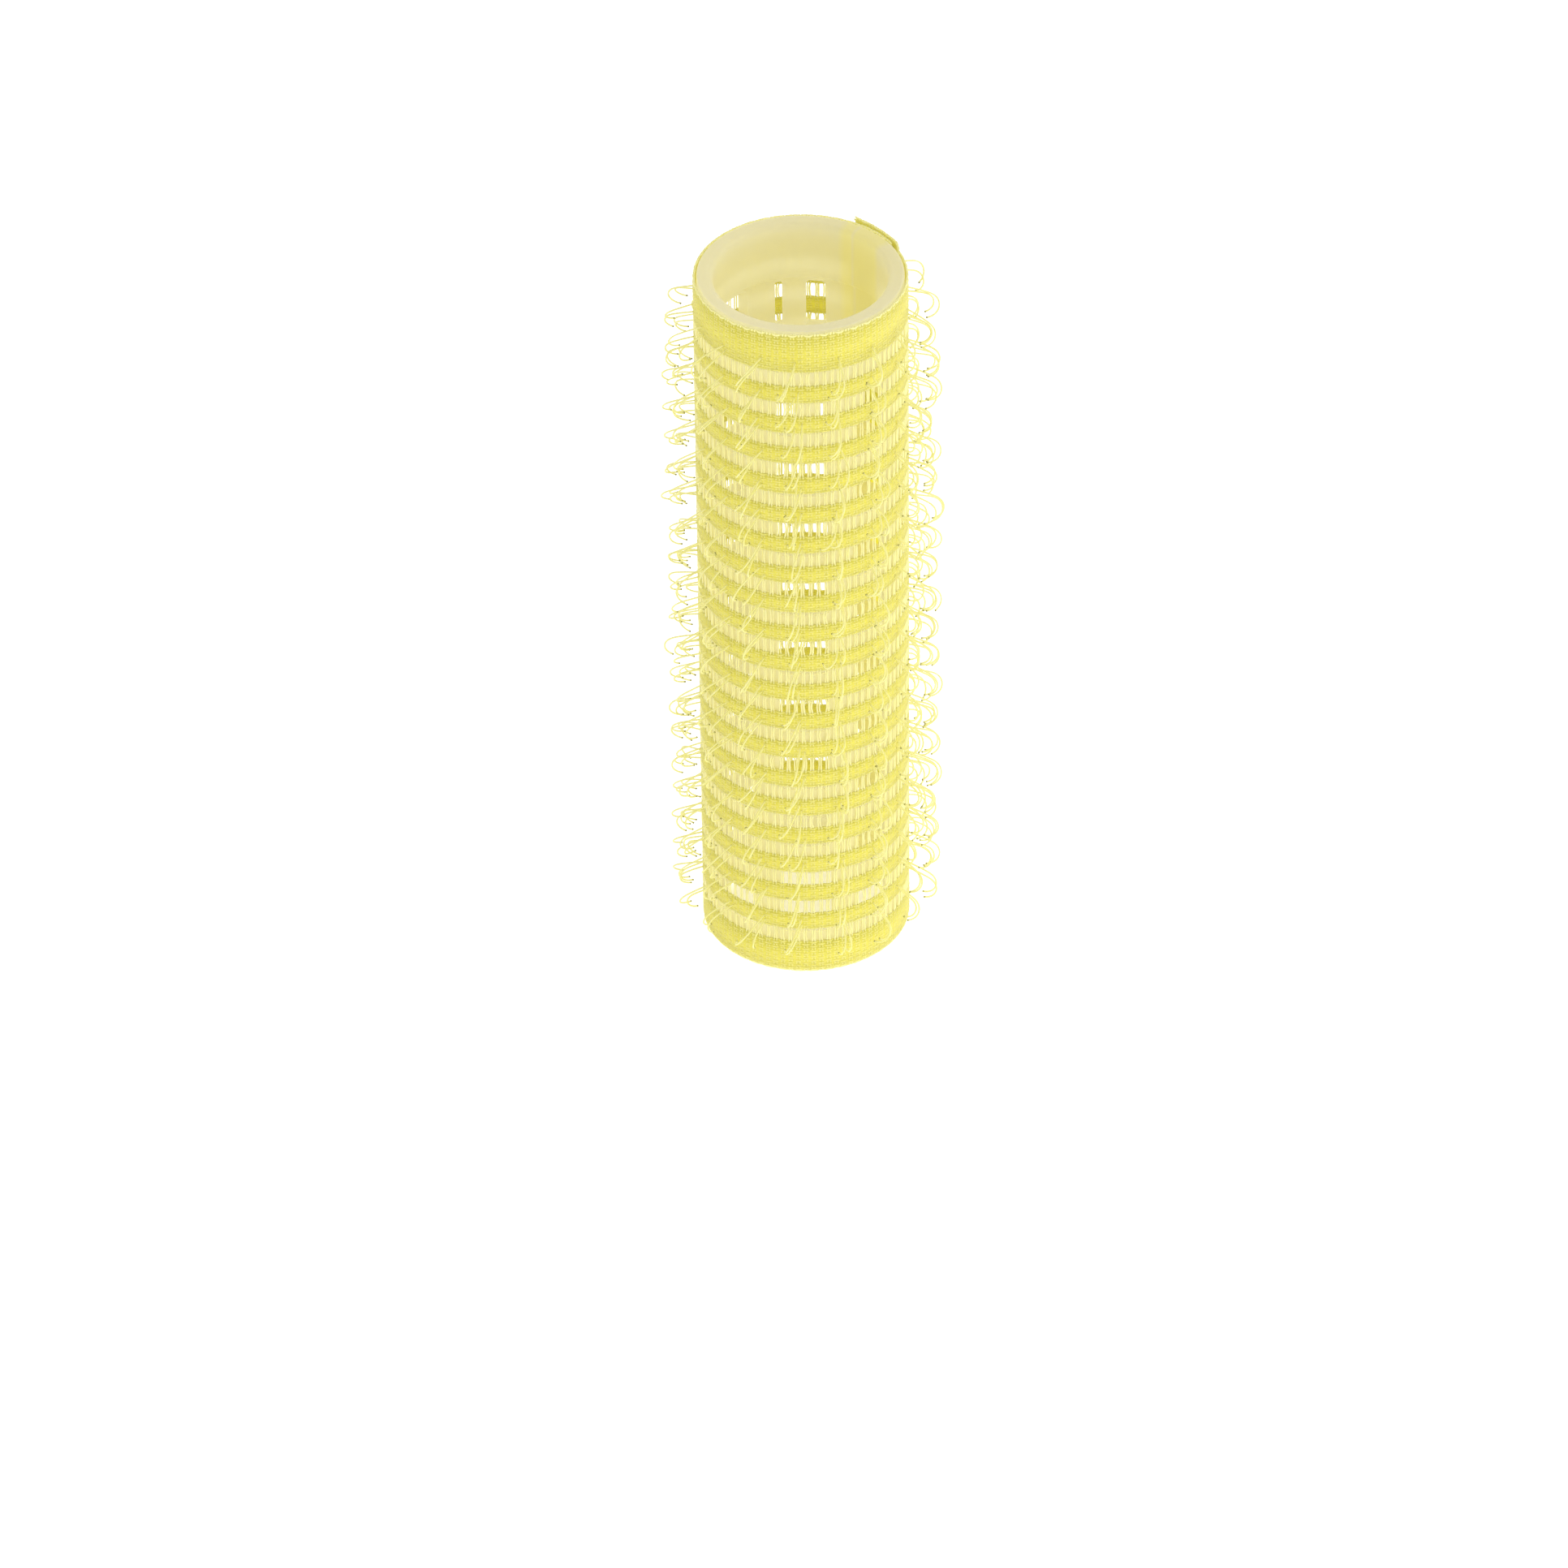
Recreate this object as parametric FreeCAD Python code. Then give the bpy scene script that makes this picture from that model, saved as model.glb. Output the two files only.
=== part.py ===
"""Self-grip hair roller: a vented barrel wrapped once in woven hook tape.

Units are millimetres. +Z runs along the roller's axis, and the origin is the centre of the bottom rim.
Azimuth 0 faces -Y and grows towards +X.
"""
import FreeCAD, Part
import math
import os
import random
from FreeCAD import Vector

# Driving dimensions
LENGTH = 63.0                  # barrel, rim to rim
BARREL_RADIUS = 8.15
BARREL_WALL = 1.3
TAPE_THICKNESS = 0.4

# Tape: a plain selvedge at each end, and hook bands separated by open ladder gaps
BAND_COUNT = 19
BAND_PITCH = 2.885
GAP_HEIGHT = 1.24
FIRST_GAP_TOP = 59.3
TAPE_TOP = LENGTH - 0.1
TAPE_BOTTOM = 0.15

# Lap where the tape's outer end covers its inner end
LAP_AZIMUTH = 120.0
LAP_ANGLE = 32.0
RAMP_ANGLE = 8.0
LAP_CLEARANCE = 0.02
FLAP_LIFT = 0.35
WELD_AZIMUTH = 143.0
WELD_WIDTH = 0.45
WELD_BITE = 0.06               # how far the weld sinks into each layer
WELD_END_MARGIN = 0.5

# Barrel windows, in columns that are staggered by half a row. Half a turn brings the pattern onto itself.
COLUMN_COUNT = 8
WINDOW_WIDTH = 4.03
WINDOW_HEIGHT = 4.42
WINDOW_CORNER = 0.35
WINDOW_CORNER_SHARE = 0.3      # most of a narrow window's width that one corner takes
TOP_WINDOW_EDGE = 57.5
ROW_PITCH = 2 * BAND_PITCH
ROW_COUNT = 9
MULLION_WIDTH = 1.9
MULLION_OFFSET = 0.5
NARROW_LEFT = -1.1             # left edge of the upper half-row windows
RIM_OUTER_ROUND = 0.15
RIM_INNER_ROUND = 0.45
RELIEF_DEPTH = 0.25            # the windowed stretch of the wall is thinner than the collars by this
RELIEF_BOTTOM = 2.9
RELIEF_TOP = 58.0

# Ladder yarns, which cross the gaps: flattened six-sided bundles
YARN_WIDTH = 0.16
YARN_DEPTH = 0.12
YARN_STEP = 360.0 / 84
YARN_PHASE = 0.85              # the first yarn's distance from the tape's inner end, in steps

# Hooks: pairs of cut monofilament loops, in a row in every band and one more in the top selvedge
HOOK_RADIUS = 0.06
HOOK_COLUMN_STEP = 360.0 / 17
HOOK_FIRST_AZIMUTH = 125.0
HOOK_ROOT_DEPTH = 0.12
HOOK_STRAIGHT = 2.15
HOOK_BEND_RADIUS = 0.85
HOOK_BEND_ANGLE = 158.0
PARTNER_SCALE = 0.88
PARTNER_DROP = 0.48
FLAP_END_MARGIN = 3.0          # degrees without hooks on each side of the flap's end

# How hooks differ from one another: the lowest and highest value of each
FIRST_SEED = 200
AZIMUTH_JITTER = (-2.0, 2.0)
HEIGHT_JITTER = (-0.1, 0.1)
LEAN_DOWN = (0.1, 0.45)
LEAN_SIDE = (0.0, 0.32)
BEND_SIDE = (0.1, 0.8)
STRAIGHT_SHARE = (0.86, 1.06)
BEND_RADIUS_SHARE = (0.75, 1.08)
BEND_ANGLE_SHARE = (0.85, 1.12)

BARREL_BORE = BARREL_RADIUS - BARREL_WALL
TAPE_OUTER = BARREL_RADIUS + TAPE_THICKNESS
TURN_END = LAP_AZIMUTH + 360.0 - RAMP_ANGLE
FLAP_START = LAP_AZIMUTH + 360.0
FLAP_END = FLAP_START + LAP_ANGLE
UP = Vector(0, 0, 1)


def polar(radius, azimuth, z=0.0):
    a = math.radians(azimuth)
    return Vector(radius * math.sin(a), -radius * math.cos(a), z)


def outward(azimuth):
    return polar(1.0, azimuth)


def sideways(azimuth):
    """The unit vector along the surface, towards growing azimuth."""
    return polar(1.0, azimuth + 90.0)


def gap_top(index):
    return FIRST_GAP_TOP - index * BAND_PITCH


def gap_bottom(index):
    return gap_top(index) - GAP_HEIGHT


def line(start, end):
    return Part.LineSegment(start, end).toShape()


def arc(start, middle, end):
    return Part.Arc(start, middle, end).toShape()


# Barrel

def wall_profile():
    """Half section of the barrel wall: rounded rims, and a thinner stretch between the two collars."""
    outer, inner = RIM_OUTER_ROUND, RIM_INNER_ROUND
    cut = 1 - math.sqrt(0.5)

    def rounded_end(z, up):
        flat_in = Vector(BARREL_BORE + inner, 0, z)
        flat_out = Vector(BARREL_RADIUS - outer, 0, z)
        bore = Vector(BARREL_BORE, 0, z - up * inner)
        wall = Vector(BARREL_RADIUS, 0, z - up * outer)
        bore_mid = Vector(BARREL_BORE + cut * inner, 0, z - up * cut * inner)
        wall_mid = Vector(BARREL_RADIUS - cut * outer, 0, z - up * cut * outer)
        return bore, bore_mid, flat_in, flat_out, wall_mid, wall

    low = rounded_end(0.0, -1)
    top = rounded_end(LENGTH, 1)
    relief = [
        Vector(BARREL_BORE, 0, RELIEF_TOP),
        Vector(BARREL_BORE + RELIEF_DEPTH, 0, RELIEF_TOP - RELIEF_DEPTH),
        Vector(BARREL_BORE + RELIEF_DEPTH, 0, RELIEF_BOTTOM + RELIEF_DEPTH),
        Vector(BARREL_BORE, 0, RELIEF_BOTTOM),
    ]
    inner_wall = [top[0], *relief, low[0]]
    edges = [
        arc(low[0], low[1], low[2]),
        line(low[2], low[3]),
        arc(low[3], low[4], low[5]),
        line(low[5], top[5]),
        arc(top[5], top[4], top[3]),
        line(top[3], top[2]),
        arc(top[2], top[1], top[0]),
        *(line(start, end) for start, end in zip(inner_wall, inner_wall[1:])),
    ]
    return Part.Face(Part.Wire(edges))


def window_tool(top, bottom, azimuth, left=-WINDOW_WIDTH / 2, right=WINDOW_WIDTH / 2):
    """A straight-sided cutter through one side of the barrel wall."""
    inside, outside = BARREL_BORE - BARREL_WALL, BARREL_RADIUS + BARREL_WALL
    box = Part.makeBox(right - left, outside - inside, top - bottom, Vector(left, -outside, bottom))
    radial = [e for e in box.Edges if abs(e.Vertexes[0].Y - e.Vertexes[-1].Y) > BARREL_WALL]
    corner = min(WINDOW_CORNER, WINDOW_CORNER_SHARE * (right - left))
    tool = box.makeFillet(corner, radial)
    tool.rotate(Vector(0, 0, 0), UP, azimuth)
    return tool


def column_windows(column):
    """Cutters for one column. Even columns start with a split window and end with a tall one.
    Odd columns sit half a row lower, and every other one of them has an upper half-row window too."""
    azimuth = column * 360.0 / COLUMN_COUNT
    lowered = column % 2 == 1
    first_top = TOP_WINDOW_EDGE - (BAND_PITCH if lowered else 0.0)
    tools = []
    if column % 4 == 1:
        tools.append(window_tool(TOP_WINDOW_EDGE, first_top - WINDOW_HEIGHT, azimuth, left=NARROW_LEFT))
    for row in range(ROW_COUNT):
        top = first_top - row * ROW_PITCH
        bottom = top - WINDOW_HEIGHT
        if not lowered and row == ROW_COUNT - 1:
            bottom -= BAND_PITCH
        if not lowered and row == 0:
            split_low = MULLION_OFFSET - MULLION_WIDTH / 2
            split_high = MULLION_OFFSET + MULLION_WIDTH / 2
            tools.append(window_tool(top, bottom, azimuth, right=split_low))
            tools.append(window_tool(top, bottom, azimuth, left=split_high))
        else:
            tools.append(window_tool(top, bottom, azimuth))
    return tools


def barrel():
    tube = wall_profile().revolve(Vector(0, 0, 0), UP, 360)
    tools = []
    for column in range(COLUMN_COUNT):
        tools.extend(column_windows(column))
    return tube.cut(Part.Compound(tools))


# Tape

def tape_strip(bottom, top):
    """One stripe of the tape, wound once round the barrel and lapped over its own end."""
    inner, outer = BARREL_RADIUS, TAPE_OUTER
    over = outer + LAP_CLEARANCE
    turn_middle = (LAP_AZIMUTH + TURN_END) / 2
    flap_middle = (FLAP_START + FLAP_END) / 2
    lift_middle = FLAP_LIFT / 4  # the lift grows with the square of the angle

    def at(radius, azimuth):
        return polar(radius, azimuth, bottom)

    edges = [
        arc(at(inner, LAP_AZIMUTH), at(inner, turn_middle), at(inner, TURN_END)),
        line(at(inner, TURN_END), at(over, FLAP_START)),
        arc(at(over, FLAP_START), at(over + lift_middle, flap_middle), at(over + FLAP_LIFT, FLAP_END)),
        line(at(over + FLAP_LIFT, FLAP_END), at(over + FLAP_LIFT + TAPE_THICKNESS, FLAP_END)),
        arc(
            at(over + FLAP_LIFT + TAPE_THICKNESS, FLAP_END),
            at(over + lift_middle + TAPE_THICKNESS, flap_middle),
            at(over + TAPE_THICKNESS, FLAP_START),
        ),
        line(at(over + TAPE_THICKNESS, FLAP_START), at(outer, TURN_END)),
        arc(at(outer, TURN_END), at(outer, turn_middle), at(outer, LAP_AZIMUTH)),
        line(at(outer, LAP_AZIMUTH), at(inner, LAP_AZIMUTH)),
    ]
    return Part.Face(Part.Wire(edges)).extrude(Vector(0, 0, top - bottom))


def tape_radius(azimuth):
    """Mid-thickness radius of the tape at an azimuth counted along its winding."""
    flat = BARREL_RADIUS + TAPE_THICKNESS / 2
    raised = flat + TAPE_THICKNESS + LAP_CLEARANCE
    if azimuth <= TURN_END:
        return flat
    if azimuth <= FLAP_START:
        return flat + (raised - flat) * (azimuth - TURN_END) / RAMP_ANGLE
    return raised + FLAP_LIFT * ((azimuth - FLAP_START) / LAP_ANGLE) ** 2


def ladder_yarn(azimuth, bottom):
    """A six-sided bundle, wider than deep, as tall as a gap."""
    centre = polar(tape_radius(azimuth), azimuth, bottom)
    corners = []
    for n in range(6):
        a = math.radians(60 * n)
        along = sideways(azimuth) * (YARN_WIDTH / 2 * math.cos(a))
        deep = outward(azimuth) * (YARN_DEPTH / 2 * math.sin(a))
        corners.append(centre + along + deep)
    outline = Part.makePolygon(corners + corners[:1])
    return Part.Face(outline).extrude(UP * GAP_HEIGHT)


def ladder_yarns():
    """Weft yarns where they cross each open gap, from one woven stripe to the next."""
    count = int((FLAP_END - LAP_AZIMUTH) / YARN_STEP)
    azimuths = [LAP_AZIMUTH + (n + YARN_PHASE) * YARN_STEP for n in range(count)]
    bottoms = [gap_bottom(gap) for gap in range(BAND_COUNT + 1)]
    return Part.Compound([ladder_yarn(a, z) for z in bottoms for a in azimuths])


def lap_weld():
    """The heat-sealed line that holds the tape's outer end down on its inner end."""
    flap_inside = tape_radius(WELD_AZIMUTH + 360.0) - TAPE_THICKNESS / 2
    low, high = TAPE_OUTER - WELD_BITE, flap_inside + WELD_BITE
    bottom, top = TAPE_BOTTOM + WELD_END_MARGIN, TAPE_TOP - WELD_END_MARGIN
    corner = Vector(-WELD_WIDTH / 2, -high, bottom)
    box = Part.makeBox(WELD_WIDTH, high - low, top - bottom, corner)
    box.rotate(Vector(0, 0, 0), UP, WELD_AZIMUTH)
    return box


# Hooks

def hook(root, out, bend_towards, straight, bend_radius, bend_angle):
    """A filament that rises straight from the tape and curls over to a cut end."""
    along = out.normalize()
    bend = (bend_towards - along * bend_towards.dot(along)).normalize()
    shoulder = root + along * straight
    centre = shoulder + bend * bend_radius

    def on_bend(angle):
        a = math.radians(angle)
        return centre - bend * (bend_radius * math.cos(a)) + along * (bend_radius * math.sin(a))

    path = Part.Wire([
        line(root, shoulder),
        arc(shoulder, on_bend(bend_angle / 2), on_bend(bend_angle)),
    ])
    section = Part.Wire(Part.Circle(root, along, HOOK_RADIUS).toShape())
    return path.makePipeShell([section], True, False)


def hook_row(row):
    """One row of hooks: a full hook and a smaller partner in every column. Row 0 is in the top selvedge."""
    chance = random.Random(FIRST_SEED + row)
    middle = gap_top(row) + (BAND_PITCH - GAP_HEIGHT) / 2
    count = int((FLAP_END - FLAP_END_MARGIN - HOOK_FIRST_AZIMUTH) / HOOK_COLUMN_STEP) + 1
    hooks = []
    for n in range(count):
        for scale, drop in ((1.0, -PARTNER_DROP / 2), (PARTNER_SCALE, PARTNER_DROP / 2)):
            azimuth = HOOK_FIRST_AZIMUTH + n * HOOK_COLUMN_STEP + chance.uniform(*AZIMUTH_JITTER)
            lean_down = chance.uniform(*LEAN_DOWN)
            lean_side = chance.uniform(*LEAN_SIDE)
            bend_side = chance.uniform(*BEND_SIDE)
            straight = HOOK_STRAIGHT * scale * chance.uniform(*STRAIGHT_SHARE)
            bend_radius = HOOK_BEND_RADIUS * scale * chance.uniform(*BEND_RADIUS_SHARE)
            bend_angle = HOOK_BEND_ANGLE * chance.uniform(*BEND_ANGLE_SHARE)
            if azimuth < FLAP_END - 360.0 + FLAP_END_MARGIN:
                continue
            side = sideways(azimuth)
            radius = tape_radius(azimuth) + TAPE_THICKNESS / 2 - HOOK_ROOT_DEPTH
            root = polar(radius, azimuth, middle - drop + chance.uniform(*HEIGHT_JITTER))
            out = outward(azimuth) - UP * lean_down - side * lean_side
            towards = UP * -1.0 - side * bend_side
            hooks.append(hook(root, out, towards, straight, bend_radius, bend_angle))
    return Part.Compound(hooks)


def save(name, shape):
    shape.exportStep(f"parts/{name}.step")
    box = shape.BoundBox
    print(f"{name}: {len(shape.Solids)} solids, valid {shape.isValid()}, volume {shape.Volume:.2f} mm3, "
          f"z {box.ZMin:.2f} to {box.ZMax:.2f}, x {box.XMin:.2f} to {box.XMax:.2f}")


def main():
    os.makedirs("parts", exist_ok=True)
    save("core_barrel", barrel())
    save("top_selvedge", tape_strip(FIRST_GAP_TOP, TAPE_TOP))
    save("bottom_selvedge", tape_strip(TAPE_BOTTOM, gap_bottom(BAND_COUNT)))
    save("top_selvedge_hooks", hook_row(0))
    for band in range(1, BAND_COUNT + 1):
        save(f"hook_band_{band:02d}", tape_strip(gap_top(band), gap_bottom(band - 1)))
        save(f"hook_row_{band:02d}", hook_row(band))
    save("ladder_yarns", ladder_yarns())
    save("lap_weld", lap_weld())


main()
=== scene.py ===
"""Visual model of a self-grip hair roller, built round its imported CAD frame.

Units are metres. +Z runs along the roller's axis, and the origin is the centre of the bottom rim.
Azimuths are in degrees: 0 faces -Y, and they grow towards +X. Along the tape they are counted on
past 360, from its inner end at LAP_AZIMUTH to the free end of its flap at FLAP_END.
"""
import math
import random

import bpy
import numpy as np
from mathutils import Matrix, Vector


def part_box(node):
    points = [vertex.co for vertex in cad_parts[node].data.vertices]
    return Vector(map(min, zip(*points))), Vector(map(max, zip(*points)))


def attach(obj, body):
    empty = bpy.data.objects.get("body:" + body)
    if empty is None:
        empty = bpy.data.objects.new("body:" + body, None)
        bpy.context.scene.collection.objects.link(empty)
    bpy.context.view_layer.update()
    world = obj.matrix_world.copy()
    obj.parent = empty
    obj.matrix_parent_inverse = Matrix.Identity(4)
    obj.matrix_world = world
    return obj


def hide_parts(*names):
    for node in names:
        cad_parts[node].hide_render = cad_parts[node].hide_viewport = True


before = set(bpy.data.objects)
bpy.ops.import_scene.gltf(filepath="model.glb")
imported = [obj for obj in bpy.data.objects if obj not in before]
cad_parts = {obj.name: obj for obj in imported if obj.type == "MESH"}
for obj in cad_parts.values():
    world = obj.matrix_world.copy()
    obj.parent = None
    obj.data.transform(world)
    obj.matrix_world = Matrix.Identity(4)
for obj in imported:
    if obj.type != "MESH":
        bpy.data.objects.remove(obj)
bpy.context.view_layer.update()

MM = 0.001

# Frame sizes
BARREL_LOW, BARREL_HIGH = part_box("core_barrel")
BAND_NAMES = sorted(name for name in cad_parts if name.startswith("hook_band_"))
STRIP_NAMES = ["top_selvedge", *BAND_NAMES, "bottom_selvedge"]
STRIPS = {name: tuple(corner.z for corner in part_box(name)) for name in STRIP_NAMES}
WELD_LOW, WELD_HIGH = (corner.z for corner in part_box("lap_weld"))
BARREL_RADIUS = BARREL_HIGH.x
BARREL_WALL = 1.3 * MM
TAPE_THICKNESS = 0.4 * MM

# Lap of the tape, as the frame has it
LAP_AZIMUTH = 120.0
LAP_ANGLE = 32.0
RAMP_ANGLE = 8.0
LAP_CLEARANCE = 0.02 * MM
FLAP_LIFT = 0.35 * MM
WELD_AZIMUTH = 143.0
LAP_MARGIN = 2.5
FLAP_START = LAP_AZIMUTH + 360.0
FLAP_END = FLAP_START + LAP_ANGLE
TURN_END = FLAP_START - RAMP_ANGLE
WELD_TURN = WELD_AZIMUTH + 360.0

# Weave: picks run up the tape in pairs, and ends run round it, over one pair and under the next
PAIR_STEP = 360.0 / 84
PAIR_PHASE = 0.85
PICK_STEP = PAIR_STEP / 2
PICK_SPREAD = 0.38 * PICK_STEP
END_PITCH = 0.24 * MM
END_WIDTH = 0.25 * MM
END_DEPTH = 0.13 * MM
END_CRIMP = 0.05 * MM
END_ROUNDING = 0.7                # below 1, an end runs flatter over a pick and dives faster
END_WIDTH_SHARE = (0.94, 1.06)
END_SIDES = 4
END_DRIFT = 0.0035 * MM           # how far an end wanders from one ring to the next
END_DRIFT_LIMIT = 0.02 * MM
SCALLOP = 0.028 * MM              # how far picks pull a strip's outermost ends in and out
QUIET_ANGLE = 1.6                 # each side of the weld, where the crimp is pressed flat
QUIET_SHARE = 0.15                # of the crimp that is left at the weld
FRAY_ANGLE = 2.4                  # at the free end of the flap
FRAY = 0.07 * MM
FRAY_TURN = 0.9
FRAY_THINNING = 0.35
PICK_WIDTH = 0.19 * MM
PICK_DEPTH = 0.11 * MM
PICK_CRIMP = 0.05 * MM
PICK_SIDES = 4
LADDER_PICK = 0.15 * MM
LADDER_PICK_SHARE = (0.8, 1.25)
LADDER_GATHER = 0.2
LADDER_GATHER_SHARE = (0.75, 1.35)
LADDER_LEAN = 0.16                # spread of a pair's lean, in pick steps
LADDER_DRIFT = 0.06               # spread of a pick's own waver, in degrees
LADDER_RINGS = 7
LADDER_SEED = 7
LADDER_REACH = 0.12 * MM          # past a gap, into the strip on each side
LADDER_BOW = 0.05 * MM
GROUND_THICKNESS = 0.12 * MM
GROUND_INSET = 0.09 * MM          # from a strip's two edges
GROUND_START = 0.6                # degrees inside the two cut ends of the tape
GROUND_STOP = 1.4
GROUND_RINGS = 260

# Painted light along the tape's two edges: a paler colour and a stronger glow, solid up to the first
# distance and gone at the second
EDGE_SOLID = 0.1 * MM
EDGE_FADE = 0.35 * MM
EDGE_LIGHT_COLOUR = (0.93, 0.90, 0.50)
EDGE_GLOW = 0.35

# Weld, and the web that the melted yarn leaves between the layers
WELD_RINGS = 260
WELD_WIDTH = 0.24 * MM
WELD_BITE = 0.06 * MM             # into each layer
WELD_DRIFT = 0.012                # degrees, from one ring to the next
WELD_DRIFT_LIMIT = 0.25
WELD_BEAD_PITCH = 0.8 * MM
WELD_BEADING = 0.22               # of the weld's width
WELD_UNEVENNESS = 0.05
WELD_SIDES = 8
WELD_SEED = 11
WEB_RINGS = 60
WEB_HALF_THICKNESS = 0.015 * MM
WEB_START = 1.0                   # degrees past the start of the flap
WEB_PAST_WELD = 4.0

# Hooks, with the frame's own random draws and sizes, but a little thicker than its 0.06 mm
HOOK_RADIUS = 0.075 * MM
HOOK_COLUMN_STEP = 360.0 / 17
HOOK_FIRST_AZIMUTH = 125.0
HOOK_ROOT_DEPTH = 0.12 * MM
HOOK_STRAIGHT = 2.15 * MM
HOOK_BEND_RADIUS = 0.85 * MM
HOOK_BEND_ANGLE = 158.0
PARTNER_SCALE = 0.88
PARTNER_DROP = 0.48 * MM
FLAP_END_MARGIN = 3.0
FIRST_SEED = 200
AZIMUTH_JITTER = (-2.0, 2.0)
HEIGHT_JITTER = (-0.1 * MM, 0.1 * MM)
LEAN_DOWN = (0.1, 0.45)
LEAN_SIDE = (0.0, 0.32)
BEND_SIDE = (0.1, 0.8)
STRAIGHT_SHARE = (0.86, 1.06)
BEND_RADIUS_SHARE = (0.75, 1.08)
BEND_ANGLE_SHARE = (0.85, 1.12)
HOOK_RINGS = 22
HOOK_SIDES = 6
HOOK_UNEVENNESS = 0.03
BEAD_STEPS = (-0.06 * MM, -0.03 * MM, 0.03 * MM, 0.07 * MM)     # from the cut end, along it
BEAD_SHARES = (0.7, 1.1, 1.15, 0.7)                             # of the hook's radius

# Materials. ROUND and UPRIGHT scale the coordinates round the barrel and up it, so that a yarn's
# streaks run along it.
ROUND = (0.12, 3.0)
UPRIGHT = (3.0, 0.12)
STREAK_SHARE = 0.45               # of the yarn's shade; slow clouds make the rest
YARN_BUMP = 0.025 * MM
FILAMENT_BUMP = 0.006 * MM
PLASTIC_BUMP = 0.01 * MM
CUT_BUMP = 0.01 * MM
SKIN_START = 0.12 * MM            # depths over which the painted tape colour fades in the wall
SKIN_FULL = 0.04 * MM
SKIN_SHARE = 0.85
SEAM_SHARE = 0.2                  # of the painted tape colour that is left in the wall at the weld
SEAM_FADE = 0.05                  # of the lap's width, on each side of the weld

# Floor, sky and camera
FLOOR_LEVEL = 0.7
# inside the bore the floor glows less: painted shade
FLOOR_LEVEL_IN_BORE = 0.3
FLOOR_BLEND = 0.3 * MM
SKY_AT_HORIZON = 0.9
SKY_OVERHEAD = 0.59
CAMERA_ELEVATION = 37.24
CAMERA_ROLL = -0.638
CAMERA_DISTANCE = 786.1 * MM
CAMERA_TARGET = (-1.727 * MM, 0.0, 12.9 * MM)
SENSOR_WIDTH = 36.0
FOCAL_LENGTH = 222.2

UP = np.array([0.0, 0.0, 1.0])


# Geometry helpers

def polar(radius, azimuth, z):
    """Points from radii, azimuths and heights, which may be arrays."""
    a = np.radians(azimuth)
    radius, a, z = np.broadcast_arrays(radius, a, z)
    return np.stack([radius * np.sin(a), -radius * np.cos(a), z], -1)


def outward(azimuth):
    return polar(1.0, azimuth, 0.0)


def sideways(azimuth):
    """The unit vector along the surface, towards growing azimuth."""
    return polar(1.0, np.asarray(azimuth) + 90.0, 0.0)


def tape_radius(azimuth):
    """Mid-thickness radius of the tape at azimuths counted along its winding."""
    azimuth = np.asarray(azimuth, float)
    ramp = np.clip((azimuth - TURN_END) / RAMP_ANGLE, 0.0, 1.0)
    lift = np.clip((azimuth - FLAP_START) / LAP_ANGLE, 0.0, None)
    flat = BARREL_RADIUS + TAPE_THICKNESS / 2
    return flat + (TAPE_THICKNESS + LAP_CLEARANCE) * ramp + FLAP_LIFT * lift ** 2


def new_mesh(name, points, faces):
    """A smooth-shaded object. Faces is a list of index arrays, each with its own number of
    corners."""
    mesh = bpy.data.meshes.new(name)
    corners = np.concatenate([f.ravel() for f in faces]).astype(np.int32)
    sizes = np.concatenate([np.full(len(f), f.shape[1]) for f in faces])
    starts = (np.cumsum(sizes) - sizes).astype(np.int32)
    mesh.vertices.add(len(points))
    mesh.vertices.foreach_set("co", np.asarray(points, np.float32).ravel())
    mesh.loops.add(len(corners))
    mesh.loops.foreach_set("vertex_index", corners)
    mesh.polygons.add(len(sizes))
    mesh.polygons.foreach_set("loop_start", starts)
    mesh.polygons.foreach_set("use_smooth", np.ones(len(sizes), bool))
    mesh.update(calc_edges=True)
    obj = bpy.data.objects.new(name, mesh)
    bpy.context.scene.collection.objects.link(obj)
    return obj


def tube_parts(centres, across, deep, sides):
    """Points and faces of closed tubes, one for each row of centres.
    Across and deep are each ring's half axes, and across x deep points along the tube."""
    tubes, rings = centres.shape[:2]
    angle = 2 * np.pi * np.arange(sides) / sides
    cosine, sine = np.cos(angle)[:, None], np.sin(angle)[:, None]
    around = across[:, :, None] * cosine + deep[:, :, None] * sine
    points = (centres[:, :, None] + around).reshape(-1, 3)
    index = np.arange(tubes * rings * sides).reshape(tubes, rings, sides)
    near, far = index[:, :-1], index[:, 1:]
    walls = np.stack([near, np.roll(near, -1, 2), np.roll(far, -1, 2), far], -1).reshape(-1, 4)
    return points, walls, index[:, 0, ::-1], index[:, -1]


def joined(parts):
    """One set of points and faces from several."""
    points, faces, shift = [], [], 0
    for some_points, *some_faces in parts:
        points.append(some_points)
        faces.extend(f + shift for f in some_faces)
        shift += len(some_points)
    return np.concatenate(points), faces


def add_piece(obj, slot, material, *nodes):
    """Gives a piece its material, and puts it in place of its CAD nodes. Slot is not used."""
    obj.data.materials.append(material)
    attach(obj, "root")
    if nodes:
        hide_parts(*nodes)
    return obj


def add_second(obj, material, first_face):
    """Gives another material to a piece's faces from first_face on."""
    obj.data.materials.append(material)
    marks = np.zeros(len(obj.data.polygons), np.int32)
    marks[first_face:] = 1
    obj.data.polygons.foreach_set("material_index", marks)


# Materials

def node_tree(name):
    material = bpy.data.materials.new(name)
    material.use_nodes = True
    tree = material.node_tree
    tree.nodes.clear()
    return material, tree


def link(tree, source, target):
    tree.links.new(source, target)


def math_node(tree, operation, first, second):
    """A Math node, whose inputs are sockets or numbers."""
    node = tree.nodes.new("ShaderNodeMath")
    node.operation = operation
    for socket, value in zip(node.inputs, (first, second)):
        if isinstance(value, bpy.types.NodeSocket):
            link(tree, value, socket)
        else:
            socket.default_value = value
    return node.outputs["Value"]


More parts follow.
